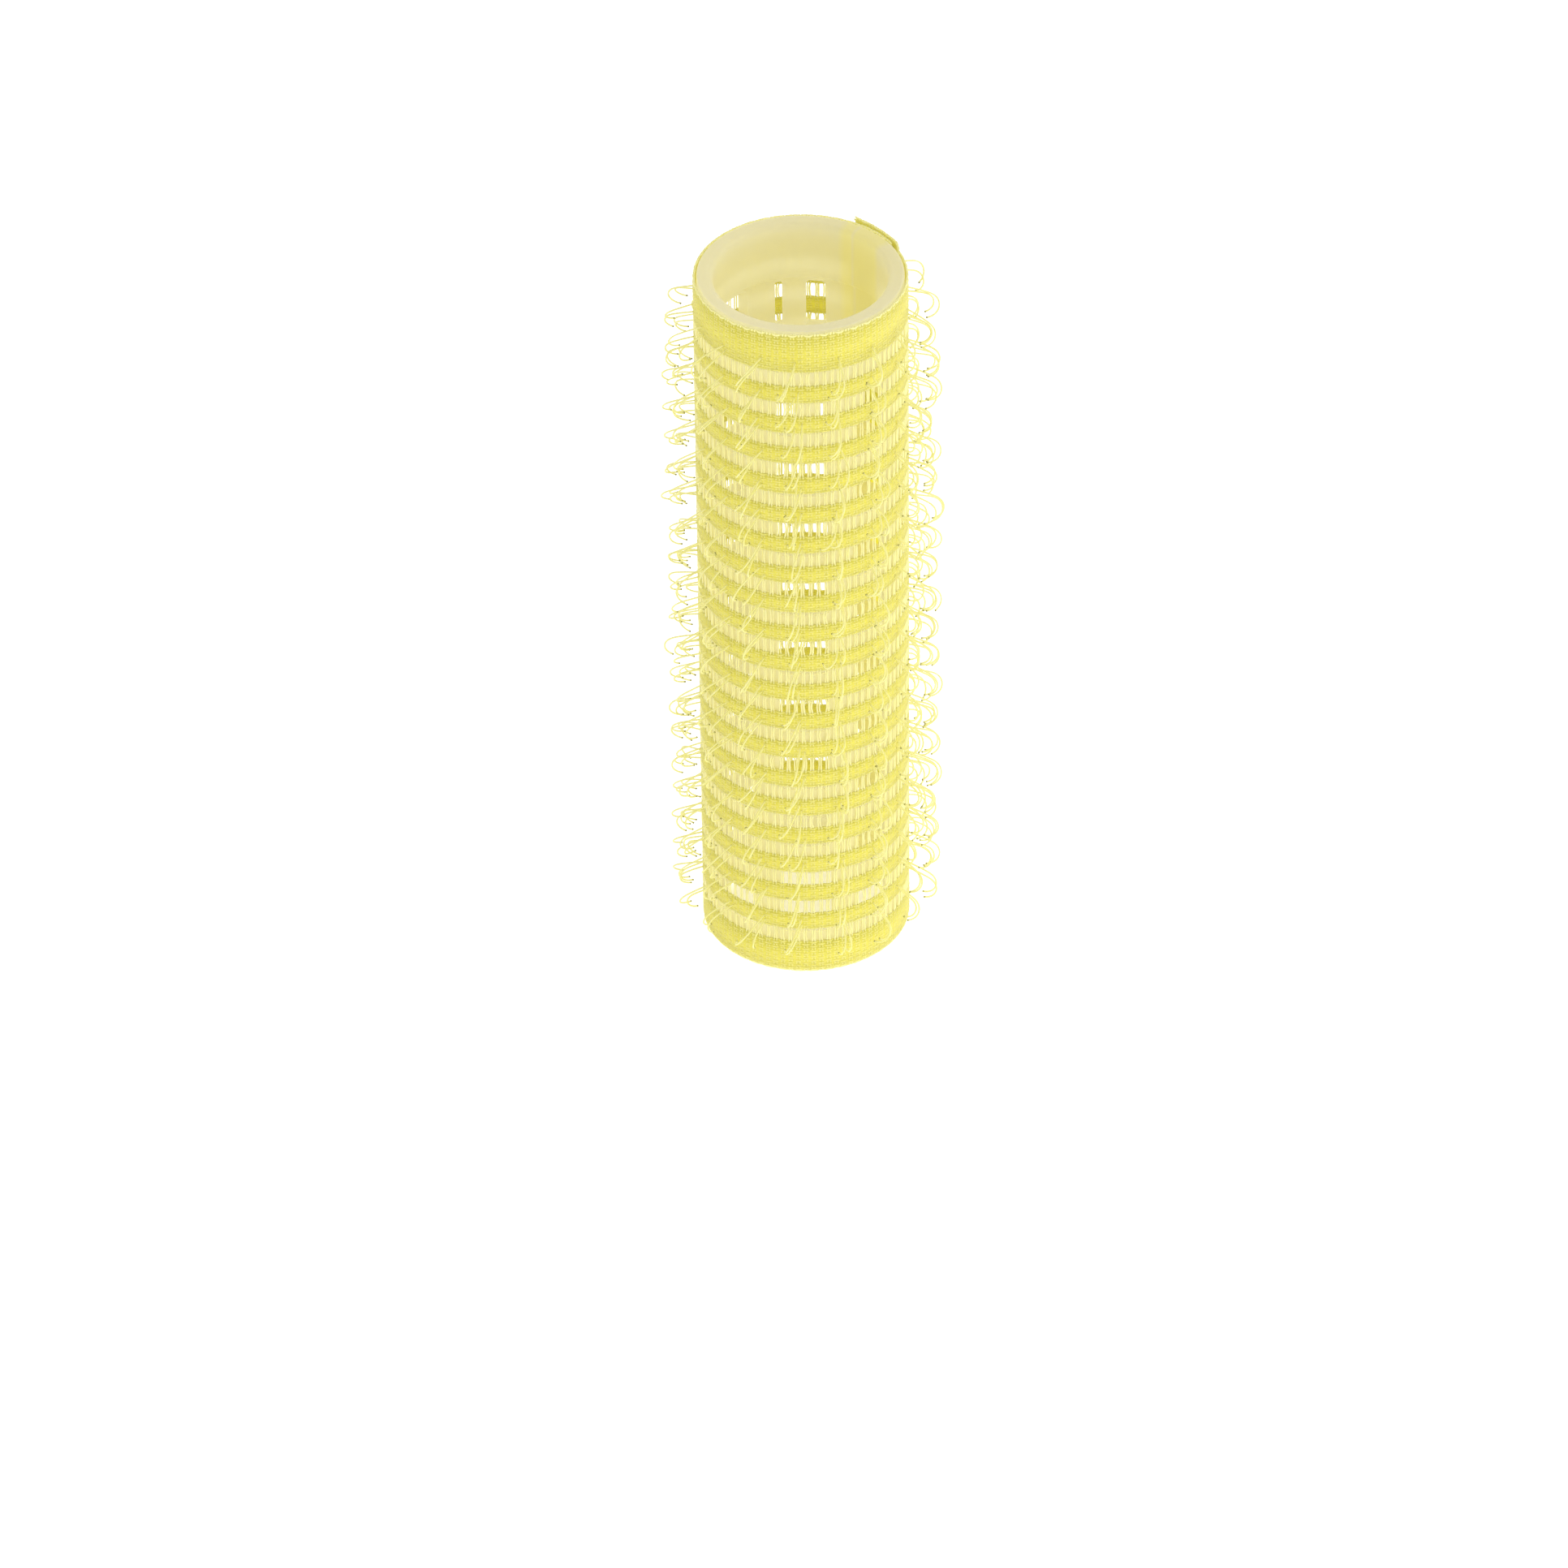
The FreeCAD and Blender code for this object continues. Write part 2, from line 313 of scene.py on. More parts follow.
def coordinates(tree, kind="Object"):
    return tree.nodes.new("ShaderNodeTexCoord").outputs[kind]


def xyz(tree, kind="Object"):
    """The three coordinates, each as a socket."""
    split = tree.nodes.new("ShaderNodeSeparateXYZ")
    link(tree, coordinates(tree, kind), split.inputs[0])
    return split.outputs


def off_axis(tree, x, y):
    """The distance from the roller's axis."""
    squares = [math_node(tree, "MULTIPLY", value, value) for value in (x, y)]
    return math_node(tree, "POWER", math_node(tree, "ADD", *squares), 0.5)


def unrolled(tree, along=1.0, across=1.0):
    """Coordinates in metres round the barrel, up it and out of it, scaled along the ends and
    across them."""
    x, y, z = xyz(tree)
    turn = math_node(tree, "ARCTAN2", y, x)
    merge = tree.nodes.new("ShaderNodeCombineXYZ")
    link(tree, math_node(tree, "MULTIPLY", turn, BARREL_RADIUS * along), merge.inputs[0])
    link(tree, math_node(tree, "MULTIPLY", z, across), merge.inputs[1])
    link(tree, math_node(tree, "MULTIPLY", off_axis(tree, x, y), across), merge.inputs[2])
    return merge.outputs[0]


def noise(tree, vector, scale, detail=2.0, roughness=0.5):
    node = tree.nodes.new("ShaderNodeTexNoise")
    node.inputs["Scale"].default_value = scale
    node.inputs["Detail"].default_value = detail
    node.inputs["Roughness"].default_value = roughness
    link(tree, vector, node.inputs["Vector"])
    return node.outputs["Fac"]


def ramp(tree, factor, stops):
    """A colour ramp of (position, colour) stops."""
    node = tree.nodes.new("ShaderNodeValToRGB")
    elements = node.color_ramp.elements
    while len(elements) < len(stops):
        elements.new(0.5)
    for element, (position, colour) in zip(elements, stops):
        element.position = position
        element.color = (*colour, 1.0)
    link(tree, factor, node.inputs["Fac"])
    return node.outputs["Color"]


def tone(tree, factor, low, high, span=(0.0, 1.0)):
    """A number that runs from low to high as factor runs over its span."""
    node = tree.nodes.new("ShaderNodeMapRange")
    node.inputs["From Min"].default_value, node.inputs["From Max"].default_value = span
    node.inputs["To Min"].default_value = low
    node.inputs["To Max"].default_value = high
    link(tree, factor, node.inputs["Value"])
    return node.outputs["Result"]


def mixed(tree, factor, first, second):
    """A colour that goes from first to second as factor does from 0 to 1. Each is a socket or a
    colour."""
    node = tree.nodes.new("ShaderNodeMix")
    node.data_type = "RGBA"
    link(tree, factor, node.inputs["Factor"])
    for socket, colour in zip((node.inputs[6], node.inputs[7]), (first, second)):
        if isinstance(colour, bpy.types.NodeSocket):
            link(tree, colour, socket)
        else:
            socket.default_value = (*colour, 1.0)
    return node.outputs[2]


def bump(tree, height, distance):
    node = tree.nodes.new("ShaderNodeBump")
    node.inputs["Distance"].default_value = distance
    link(tree, height, node.inputs["Height"])
    return node.outputs["Normal"]


def surface(tree, colour, roughness, normal, through=0.0, through_colour=None, **constants):
    """A Principled surface that also passes a share of the light behind it, softly. Constants are
    values of the shader's inputs, with underscores for spaces."""
    shader = tree.nodes.new("ShaderNodeBsdfPrincipled")
    link(tree, colour, shader.inputs["Base Color"])
    link(tree, roughness, shader.inputs["Roughness"])
    link(tree, normal, shader.inputs["Normal"])
    for name, value in constants.items():
        shader.inputs[name.replace("_", " ")].default_value = value
    output = tree.nodes.new("ShaderNodeOutputMaterial")
    if not through:
        link(tree, shader.outputs[0], output.inputs["Surface"])
        return shader, None
    glow = tree.nodes.new("ShaderNodeBsdfTranslucent")
    glow.inputs["Color"].default_value = (*through_colour, 1.0)
    mix = tree.nodes.new("ShaderNodeMixShader")
    mix.inputs[0].default_value = through
    link(tree, shader.outputs[0], mix.inputs[1])
    link(tree, glow.outputs[0], mix.inputs[2])
    link(tree, mix.outputs[0], output.inputs["Surface"])
    return shader, glow


def painted_edge_light(tree):
    """Where painted light makes the cloth paler and lets it glow more: along the tape's two edges, at
    its top and bottom.
    """
    _, _, z = xyz(tree)
    low, high = STRIPS["bottom_selvedge"][0], STRIPS["top_selvedge"][1]
    bottom = tone(tree, z, 1.0, 0.0, (low + EDGE_SOLID, low + EDGE_FADE))
    top = tone(tree, z, 0.0, 1.0, (high - EDGE_FADE, high - EDGE_SOLID))
    return math_node(tree, "MAXIMUM", bottom, top)


def yarn_material(name, along, pale, full, through, through_colour, glow, glow_colour):
    """Dyed nylon yarn: streaks of filaments along it, and slow changes of dye up and round the tape.
    Glow stands in for the light that scatters through many layers of yarn. Along the tape's two edges
    the colour is painted paler and the glow stronger, as painted light."""
    material, tree = node_tree(name)
    streaks = noise(tree, unrolled(tree, *along), 900.0, 3.0, 0.6)
    clouds = noise(tree, unrolled(tree), 350.0, 3.0)
    shade = math_node(
        tree, "ADD",
        math_node(tree, "MULTIPLY", streaks, STREAK_SHARE),
        math_node(tree, "MULTIPLY", clouds, 1 - STREAK_SHARE),
    )
    edges = painted_edge_light(tree)
    # the tape's two edges are painted paler, as painted light
    colour = mixed(tree, edges, ramp(tree, shade, [(0.3, full), (0.7, pale)]), EDGE_LIGHT_COLOUR)
    roughness = tone(tree, streaks, 0.42, 0.66)
    filaments = noise(tree, unrolled(tree, *along), 2600.0, 2.0, 0.7)
    shader, _ = surface(
        tree, colour, roughness, bump(tree, filaments, YARN_BUMP), through, through_colour,
        Specular_IOR_Level=0.9, Sheen_Weight=0.8, Sheen_Roughness=0.5, IOR=1.53,
        Emission_Strength=EDGE_GLOW,
    )
    dimmed = [value * glow / EDGE_GLOW for value in glow_colour]
    # the glow is painted stronger along the tape's two edges
    link(tree, mixed(tree, edges, dimmed, EDGE_LIGHT_COLOUR), shader.inputs["Emission Color"])
    return material


def filament_material(name, pale, full, through, through_colour, alpha):
    """Drawn monofilament: smooth and glossy, with faint draw lines, patches of paler dye and a faint
    painted glow.
    """
    material, tree = node_tree(name)
    place = coordinates(tree)
    patches = noise(tree, place, 1400.0, 2.0)
    colour = ramp(tree, patches, [(0.35, full), (0.65, pale)])
    roughness = tone(tree, noise(tree, place, 5200.0, 2.0), 0.16, 0.34)
    normal = bump(tree, noise(tree, place, 9000.0, 2.0), FILAMENT_BUMP)
    # the faint emission is a painted glow
    surface(
        tree, colour, roughness, normal, through, through_colour,
        Specular_IOR_Level=0.5, IOR=1.53, Alpha=alpha,
        Emission_Color=(0.93, 0.89, 0.46, 1.0), Emission_Strength=0.1,
    )
    return material


def painted_tape_tint(tree):
    """How much of the tape's colour is painted into the milky wall: all of it under the lap, where it
    stands in for the tape seen through the wall, less at the weld, and most of it on the outside,
    between the woven strips, where it is painted shade and yellow light bounced off the tape."""
    x, y, _ = xyz(tree)
    start, end = LAP_AZIMUTH - 90.0 - LAP_MARGIN, LAP_AZIMUTH - 90.0 + LAP_ANGLE + LAP_MARGIN
    span = (math.radians(start), math.radians(end))
    turned = tone(tree, math_node(tree, "ARCTAN2", y, x), 0.0, 1.0, span)
    soft = LAP_MARGIN / (end - start)
    seam = (WELD_AZIMUTH - 90.0 - start) / (end - start)
    none, little, full = (0.0,) * 3, (SEAM_SHARE,) * 3, (1.0,) * 3
    lap = ramp(tree, turned, [
        (0.0, none), (2 * soft, full), (seam - SEAM_FADE, full), (seam, little),
        (seam + SEAM_FADE, full), (1 - 2 * soft, full), (1.0, none),
    ])
    skin = (BARREL_RADIUS - SKIN_START, BARREL_RADIUS - SKIN_FULL)
    outside = tone(tree, off_axis(tree, x, y), 0.0, SKIN_SHARE, skin)
    return math_node(tree, "MAXIMUM", lap, outside)


def barrel_material():
    """Milky moulded polypropylene, partly see-through, with faint flow marks. The tape seen through
    it and the shade and bounced light between the strips are painted into its colour, and the wall
    has a painted glow."""
    material, tree = node_tree("barrel_plastic")
    place = coordinates(tree)
    flow = noise(tree, unrolled(tree, 0.35, 1.0), 420.0, 4.0, 0.55)
    # the tape's colour, its shade and its bounced light, painted into the wall
    painted_tint = painted_tape_tint(tree)
    plain = ramp(tree, flow, [(0.3, (0.90, 0.885, 0.79)), (0.7, (0.92, 0.905, 0.84))])
    colour = mixed(tree, painted_tint, plain, (0.94, 0.91, 0.62))
    roughness = tone(tree, noise(tree, place, 1500.0, 3.0), 0.3, 0.46)
    normal = bump(tree, noise(tree, place, 2500.0, 3.0), PLASTIC_BUMP)
    # the emission is a painted glow that stands in for light scattered in the plastic
    shader, glow = surface(
        tree, colour, roughness, normal, 0.6, (0.97, 0.95, 0.84),
        Transmission_Weight=0.35, IOR=1.45, Specular_IOR_Level=0.4, Emission_Strength=0.21,
    )
    passed = mixed(tree, painted_tint, (0.97, 0.95, 0.86), (0.98, 0.95, 0.68))
    # colour of the painted glow, yellower where the tape colour is painted
    scattered = mixed(tree, painted_tint, (0.80, 0.78, 0.64), (1.0, 0.95, 0.54))
    link(tree, passed, glow.inputs["Color"])
    link(tree, scattered, shader.inputs["Emission Color"])
    return material


def cut_material():
    """The darker end that each hook was cut at."""
    material, tree = node_tree("cut_end")
    speckle = noise(tree, coordinates(tree), 6000.0, 2.0)
    colour = ramp(tree, speckle, [(0.3, (0.30, 0.28, 0.07)), (0.7, (0.48, 0.46, 0.16))])
    surface(tree, colour, tone(tree, speckle, 0.35, 0.6), bump(tree, speckle, CUT_BUMP))
    return material


# Tape

def quieted(azimuth):
    """How much crimp is left at an azimuth: the weld has pressed it flat."""
    distance = np.abs(np.asarray(azimuth) - WELD_TURN) / QUIET_ANGLE
    return np.clip(distance, QUIET_SHARE, 1.0)


def ends(low, high, seed):
    """The ends of one strip, which crimp over and under the picks on their way round."""
    chance = np.random.default_rng(seed)
    count = round((high - low) / END_PITCH)
    pitch = (high - low) / count
    rings = int(((FLAP_END - LAP_AZIMUTH) / PAIR_STEP - PAIR_PHASE + 0.5) * 4) + 2
    quarter = np.arange(-1, rings - 1)
    azimuth = LAP_AZIMUTH + (quarter / 4 + PAIR_PHASE - 0.5) * PAIR_STEP + np.zeros((count, 1))
    number = np.arange(count)[:, None]
    wave = np.cos(np.pi * ((quarter - 2) / 4 + number))
    crimp = END_CRIMP * np.sign(wave) * np.abs(wave) ** END_ROUNDING * quieted(azimuth)
    wander = np.cumsum(chance.normal(0, END_DRIFT, (count, rings)), 1)
    wander -= np.linspace(0, 1, rings) * wander[:, -1:]
    z = low + (number + 0.5) * pitch + np.clip(wander, -END_DRIFT_LIMIT, END_DRIFT_LIMIT)
    scallop = SCALLOP * np.cos(np.pi * (quarter / 2 - 1))
    z[0] += scallop
    z[-1] -= scallop
    radius = tape_radius(azimuth) + crimp
    fray = np.clip((azimuth - FLAP_END + FRAY_ANGLE) / FRAY_ANGLE, 0, 1)
    radius = radius + fray * chance.normal(0, FRAY, (count, 1))
    z = z + fray * chance.normal(0, FRAY, (count, 1))
    azimuth = azimuth + fray * chance.uniform(-FRAY_TURN, FRAY_TURN, (count, 1))
    taper = 1 - FRAY_THINNING * fray[..., None]
    width = END_WIDTH / 2 * chance.uniform(*END_WIDTH_SHARE, (count, 1))[..., None] * taper
    return tube_parts(
        polar(radius, azimuth, z),
        np.broadcast_to(UP, (count, rings, 3)) * width,
        outward(azimuth) * END_DEPTH / 2 * taper,
        END_SIDES,
    )


def pick_azimuths():
    """Where each pick stands, and the middle of the pair that it gathers into across a gap."""
    count = int((FLAP_END - LAP_AZIMUTH) / PAIR_STEP)
    middles = LAP_AZIMUTH + (np.arange(count) + PAIR_PHASE) * PAIR_STEP
    stands = np.stack([middles - PICK_SPREAD, middles + PICK_SPREAD], 1).ravel()
    return stands, np.repeat(middles, 2)


def picks(low, high):
    """Every pick inside one strip. A pair goes under each end that goes over it, and comes out
    between them."""
    azimuth, _ = pick_azimuths()
    count = round((high - low) / END_PITCH)
    half_ends = np.arange(2 * count + 1)
    azimuth = np.repeat(azimuth[:, None], len(half_ends), 1)
    pair = (np.arange(len(azimuth)) // 2)[:, None]
    z = np.broadcast_to(low + (high - low) * half_ends / (2 * count), azimuth.shape)
    crimp = PICK_CRIMP * np.cos(np.pi * (pair + (half_ends - 1) / 2)) * quieted(azimuth)
    return tube_parts(
        polar(tape_radius(azimuth) - crimp, azimuth, z),
        sideways(azimuth) * PICK_WIDTH / 2,
        -outward(azimuth) * PICK_DEPTH / 2,
        PICK_SIDES,
    )


def woven_strip(node, weave, pick_yarn, seed):
    low, high = STRIPS[node]
    ground_ends = ends(low, high, seed)
    points, faces = joined([ground_ends, picks(low, high)])
    name = node.replace("hook_band", "woven_band").replace("selvedge", "woven_selvedge")
    obj = add_piece(new_mesh(name, points, faces), "tape_weave", weave, node)
    add_second(obj, pick_yarn, sum(len(f) for f in ground_ends[1:]))
    return obj


def ladder(material):
    """The picks across every gap, gathered into loose pairs that lean a little."""
    chance = np.random.default_rng(LADDER_SEED)
    azimuth, middle = pick_azimuths()
    count = len(azimuth)
    share = np.linspace(0, 1, LADDER_RINGS)
    loose = np.sin(np.pi * share)
    parts = []
    for above, below in zip(STRIP_NAMES, STRIP_NAMES[1:]):
        low, high = STRIPS[below][1] - LADDER_REACH, STRIPS[above][0] + LADDER_REACH
        pull = LADDER_GATHER * loose ** 0.6 * chance.uniform(*LADDER_GATHER_SHARE, (count, 1))
        lean = np.repeat(chance.normal(0, LADDER_LEAN, (count // 2, 1)), 2, 0)
        path = azimuth[:, None] + pull * (middle - azimuth)[:, None] * 1.5
        path = path + lean * PICK_STEP * loose + chance.normal(0, LADDER_DRIFT, path.shape) * loose
        bow = LADDER_BOW * loose * chance.uniform(-1, 1, (count, 1))
        z = low + (high - low) * share + np.zeros_like(path)
        thick = LADDER_PICK / 2 * chance.uniform(*LADDER_PICK_SHARE, (count, 1, 1))
        parts.append(tube_parts(
            polar(tape_radius(path) + bow, path, z),
            sideways(path) * thick,
            -outward(path) * thick,
            PICK_SIDES,
        ))
    points, faces = joined(parts)
    return add_piece(new_mesh("ladder_picks", points, faces), "ladder_yarn", material, "ladder_yarns")


def ground(material):
    """The tight inner layer of every woven strip, as one cut of cloth with its open gaps."""
    parts = []
    for low, high in STRIPS.values():
        azimuth = np.linspace(LAP_AZIMUTH + GROUND_START, FLAP_END - GROUND_STOP, GROUND_RINGS)[None]
        centres = polar(tape_radius(azimuth), azimuth, (low + high) / 2)
        up = np.broadcast_to(UP, (1, GROUND_RINGS, 3)) * ((high - low) / 2 - GROUND_INSET)
        out = outward(azimuth) * GROUND_THICKNESS / 2
        parts.append(tube_parts(centres, up + out, out - up, 4))
    points, faces = joined(parts)
    return add_piece(new_mesh("tape_ground", points, faces), "tape_weave", material)


def fused_web(material):
    """The thin web of melted yarn between the two layers, which closes the gaps under the flap."""
    azimuth = np.linspace(FLAP_START + WEB_START, WELD_TURN + WEB_PAST_WELD, WEB_RINGS)[None]
    radius = tape_radius(azimuth) - TAPE_THICKNESS / 2 - LAP_CLEARANCE / 2
    points, *faces = tube_parts(
        polar(radius, azimuth, (WELD_LOW + WELD_HIGH) / 2),
        np.broadcast_to(UP, (1, WEB_RINGS, 3)) * (WELD_HIGH - WELD_LOW) / 2,
        outward(azimuth) * WEB_HALF_THICKNESS,
        4,
    )
    return add_piece(new_mesh("fused_web", points, faces), "weld_bead", material)


def weld(material):
    """The melted seam between the two layers: an uneven flattened bead."""
    chance = np.random.default_rng(WELD_SEED)
    z = np.linspace(WELD_LOW, WELD_HIGH, WELD_RINGS)[None]
    drift = np.cumsum(chance.normal(0, WELD_DRIFT, (1, WELD_RINGS)), 1)
    azimuth = WELD_AZIMUTH + np.clip(drift, -WELD_DRIFT_LIMIT, WELD_DRIFT_LIMIT)
    inner = BARREL_RADIUS + TAPE_THICKNESS - WELD_BITE
    outer = float(tape_radius(WELD_TURN)) - TAPE_THICKNESS / 2 + WELD_BITE
    beads = 1 + WELD_BEADING * np.sin(np.pi * 2 * z / WELD_BEAD_PITCH)
    width = WELD_WIDTH * (beads + chance.normal(0, WELD_UNEVENNESS, z.shape))
    points, *faces = tube_parts(
        polar((inner + outer) / 2, azimuth, z),
        sideways(azimuth) * width[..., None],
        -outward(azimuth) * (outer - inner) / 2,
        WELD_SIDES,
    )
    return add_piece(new_mesh("weld_seam", points, faces), "weld_bead", material, "lap_weld")


# Hooks

def hook_line(root, out, towards, straight, bend_radius, bend_angle):
    """Points of a filament that springs from its root and curls over, the directions there, and
    the direction across them all. It bends little at first, hardest past its middle, and eases
    towards its cut end."""
    out = out / np.linalg.norm(out)
    towards = towards - out * (towards @ out)
    towards = towards / np.linalg.norm(towards)
    share = np.linspace(0, 1, HOOK_RINGS)
    middle = (share[1:] + share[:-1]) / 2
    rise = np.clip((middle - 0.36) / 0.2, 0, 1)
    ease = np.clip((middle - 0.78) / 0.22, 0, 1)
    bending = 0.12 + 1.9 * rise - 0.8 * ease
    turned = np.concatenate([[0], np.cumsum(bending)])
    turned = turned / turned[-1] * math.radians(bend_angle)
    heading = (turned[1:] + turned[:-1]) / 2
    reach = np.concatenate([[0], np.cumsum(np.cos(heading))])
    fall = np.concatenate([[0], np.cumsum(np.sin(heading))])
    step = (straight + bend_radius) / reach.max()
    line = root + np.outer(reach * step, out) + np.outer(fall * step, towards)
    direction = np.outer(np.cos(turned), out) + np.outer(np.sin(turned), towards)
    return line, direction, np.cross(out, towards)


def hook_lines(row, middle):
    """Every hook of one row, from the same random draws as the frame's."""
    chance = random.Random(FIRST_SEED + row)
    count = int((FLAP_END - FLAP_END_MARGIN - HOOK_FIRST_AZIMUTH) / HOOK_COLUMN_STEP) + 1
    lines = []
    for n in range(count):
        for scale, drop in ((1.0, -PARTNER_DROP / 2), (PARTNER_SCALE, PARTNER_DROP / 2)):
            azimuth = HOOK_FIRST_AZIMUTH + n * HOOK_COLUMN_STEP + chance.uniform(*AZIMUTH_JITTER)
            lean_down = chance.uniform(*LEAN_DOWN)
            lean_side = chance.uniform(*LEAN_SIDE)
            bend_side = chance.uniform(*BEND_SIDE)
            straight = HOOK_STRAIGHT * scale * chance.uniform(*STRAIGHT_SHARE)
            bend_radius = HOOK_BEND_RADIUS * scale * chance.uniform(*BEND_RADIUS_SHARE)
            bend_angle = HOOK_BEND_ANGLE * chance.uniform(*BEND_ANGLE_SHARE)
            if azimuth < FLAP_END - 360.0 + FLAP_END_MARGIN:
                continue
            side = sideways(azimuth)
            radius = float(tape_radius(azimuth)) + TAPE_THICKNESS / 2 - HOOK_ROOT_DEPTH
            root = polar(radius, azimuth, middle - drop + chance.uniform(*HEIGHT_JITTER))
            out = outward(azimuth) - UP * lean_down - side * lean_side
            towards = -UP - side * bend_side
            lines.append(hook_line(root, out, towards, straight, bend_radius, bend_angle))
    return lines


def hook_row(row, node, material, cut):
    """One row of hooks as fine filaments with a small dark bead at each cut end.
    Row 0 is in the top selvedge, as far above its lower edge as the others are above their bands'."""
    low, high = STRIPS[BAND_NAMES[0]]
    middle = STRIPS[STRIP_NAMES[row]][0] + (high - low) / 2
    lines = hook_lines(row, middle)
    centres = np.array([line for line, _, _ in lines])
    along = np.array([direction for _, direction, _ in lines])
    side = np.array([np.broadcast_to(across, (HOOK_RINGS, 3)) for _, _, across in lines])
    chance = np.random.default_rng(FIRST_SEED + row)
    size = HOOK_RADIUS * (1 + chance.normal(0, HOOK_UNEVENNESS, centres.shape[:2]))[..., None]
    deep = np.cross(along, side)
    points, *faces = tube_parts(centres, side * size, deep * size, HOOK_SIDES)
    bead_place = np.array(BEAD_STEPS)[None, :, None]
    bead_size = np.array(BEAD_SHARES)[None, :, None] * HOOK_RADIUS
    beads = tube_parts(
        centres[:, -1:] + along[:, -1:] * bead_place,
        side[:, -1:] * bead_size,
        deep[:, -1:] * bead_size,
        HOOK_SIDES,
    )
    points, faces = joined([(points, *faces), beads])
    name = node.replace("row", "filaments").replace("hooks", "hook_filaments")
    obj = add_piece(new_mesh(name, points, faces), "hook_filament", material, node)
    add_second(obj, cut, sum(len(f) for f in faces[:3]))
    return obj


# Floor, lights and camera

def make_floor():
    """A pale floor that glows, overexposed as in a product picture, with painted shade inside the
    roller's bore, where it glows less.
    """
    bpy.ops.mesh.primitive_plane_add(size=6.0, location=(0, 0, BARREL_LOW.z))
    floor = bpy.context.object
    floor.name = "studio_floor"
    material, tree = node_tree("studio_floor")
    shader = tree.nodes.new("ShaderNodeBsdfPrincipled")
    shader.inputs["Base Color"].default_value = (0.9, 0.9, 0.9, 1.0)
    shader.inputs["Roughness"].default_value = 0.9
    shader.inputs["Emission Color"].default_value = (1.0, 1.0, 1.0, 1.0)
    x, y, _ = xyz(tree)
    bore = BARREL_RADIUS - BARREL_WALL
    bore_edge = (bore - FLOOR_BLEND, bore + FLOOR_BLEND)
    # the floor's glow drops inside the bore, as painted shade
    lit = tone(tree, off_axis(tree, x, y), FLOOR_LEVEL_IN_BORE, FLOOR_LEVEL, bore_edge)
    link(tree, lit, shader.inputs["Emission Strength"])
    output = tree.nodes.new("ShaderNodeOutputMaterial")
    link(tree, shader.outputs[0], output.inputs["Surface"])
    floor.data.materials.append(material)


def area_light(name, place, size, power, height):
    """A square softbox at place that faces the roller's axis at a height."""
    lamp = bpy.data.lights.new(name, "AREA")
    lamp.size = size
    lamp.energy = power
    obj = bpy.data.objects.new(name, lamp)
    obj.location = place
    aim = Vector((0, 0, height)) - obj.location
    obj.rotation_euler = aim.to_track_quat("-Z", "Y").to_euler()
    bpy.context.scene.collection.objects.link(obj)


def make_lights():
    world = bpy.data.worlds.new("studio")
    world.use_nodes = True
    sky = world.node_tree
    background = sky.nodes["Background"]
    background.inputs["Color"].default_value = (1.0, 1.0, 1.0, 1.0)
    _, _, z = xyz(sky, "Generated")
    link(sky, tone(sky, z, SKY_AT_HORIZON, SKY_OVERHEAD), background.inputs["Strength"])
    bpy.context.scene.world = world
    area_light("right_softbox", (0.44, 0.02, 0.24), size=0.5, power=0.8, height=BARREL_HIGH.z / 2)
    area_light("low_front_card", (0.05, -0.085, 0.012), size=0.03, power=0.011, height=0.0)


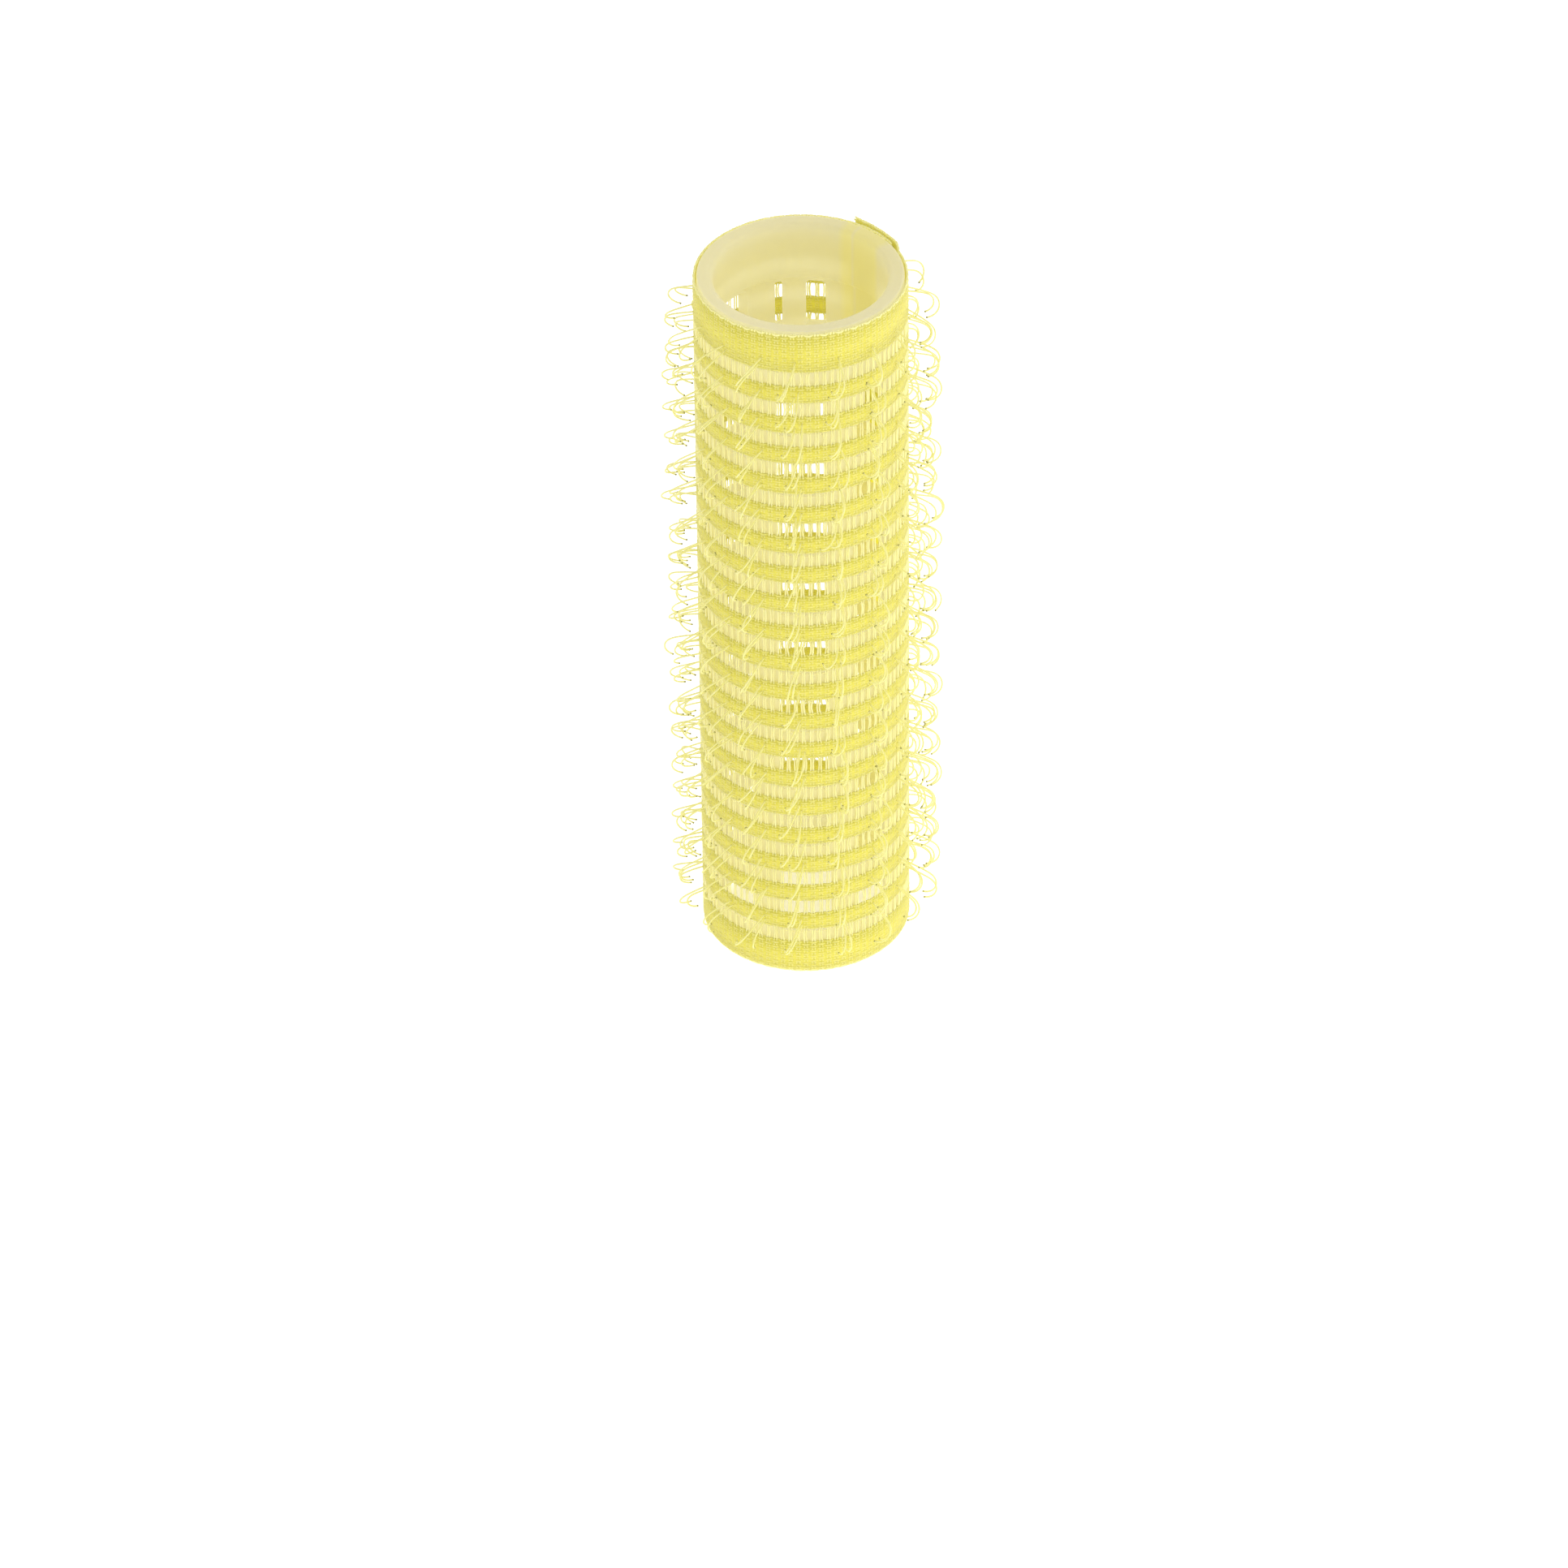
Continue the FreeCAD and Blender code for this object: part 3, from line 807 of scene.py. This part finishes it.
def make_camera():
    """A long lens that looks down at the roller's front."""
    elevation, roll = math.radians(CAMERA_ELEVATION), math.radians(CAMERA_ROLL)
    back = Vector((0.0, -math.cos(elevation), math.sin(elevation)))
    level = Vector((0.0, math.sin(elevation), math.cos(elevation)))
    right = Vector((math.cos(roll), 0.0, 0.0)) + level * math.sin(roll)
    up = level * math.cos(roll) - Vector((math.sin(roll), 0.0, 0.0))
    place = Matrix.Translation(Vector(CAMERA_TARGET) + back * CAMERA_DISTANCE)
    turn = Matrix((right, up, back)).transposed().to_4x4()
    data = bpy.data.cameras.new("camera")
    data.sensor_width = SENSOR_WIDTH
    data.lens = FOCAL_LENGTH
    data.clip_start, data.clip_end = 0.01, 10.0
    camera = bpy.data.objects.new("camera", data)
    camera.matrix_world = place @ turn
    bpy.context.scene.collection.objects.link(camera)
    bpy.context.scene.camera = camera


def make_roller():
    weave = yarn_material(
        "tape_weave", ROUND, pale=(0.87, 0.83, 0.25), full=(0.83, 0.78, 0.16),
        through=0.42, through_colour=(0.92, 0.89, 0.26), glow=0.17, glow_colour=(0.87, 0.81, 0.20),
    )
    pick_yarn = yarn_material(
        "pick_yarn", UPRIGHT, pale=(0.91, 0.88, 0.38), full=(0.87, 0.84, 0.26),
        through=0.42, through_colour=(0.94, 0.91, 0.38), glow=0.17, glow_colour=(0.90, 0.84, 0.30),
    )
    yarn = yarn_material(
        "ladder_yarn", UPRIGHT, pale=(0.93, 0.90, 0.54), full=(0.90, 0.87, 0.42),
        through=0.45, through_colour=(0.96, 0.93, 0.55), glow=0.2, glow_colour=(0.92, 0.87, 0.46),
    )
    lining = yarn_material(
        "tape_ground", ROUND, pale=(0.92, 0.88, 0.24), full=(0.89, 0.84, 0.16),
        through=0.7, through_colour=(0.95, 0.92, 0.26), glow=0.35, glow_colour=(0.88, 0.82, 0.20),
    )
    filament = filament_material(
        "hook_filament", pale=(0.91, 0.88, 0.47), full=(0.86, 0.83, 0.33),
        through=0.3, through_colour=(0.95, 0.92, 0.52), alpha=0.7,
    )
    bead = filament_material(
        "weld_bead", pale=(0.93, 0.89, 0.45), full=(0.88, 0.83, 0.30),
        through=0.4, through_colour=(0.96, 0.93, 0.45), alpha=0.8,
    )
    cut = cut_material()
    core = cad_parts["core_barrel"]
    core.data.materials.clear()
    core.data.materials.append(barrel_material())

    on_tape = [woven_strip(node, weave, pick_yarn, seed) for seed, node in enumerate(STRIP_NAMES)]
    on_tape.append(ladder(yarn))
    hook_nodes = ["top_selvedge_hooks", *(node.replace("band", "row") for node in BAND_NAMES)]
    for row, node in enumerate(hook_nodes):
        on_tape.append(hook_row(row, node, filament, cut))
    on_tape.append(weld(bead))
    on_tape.append(fused_web(lining))
    cloth = ground(lining)


make_camera()
make_lights()
make_floor()
make_roller()
bpy.context.scene.view_settings.view_transform = "Standard"
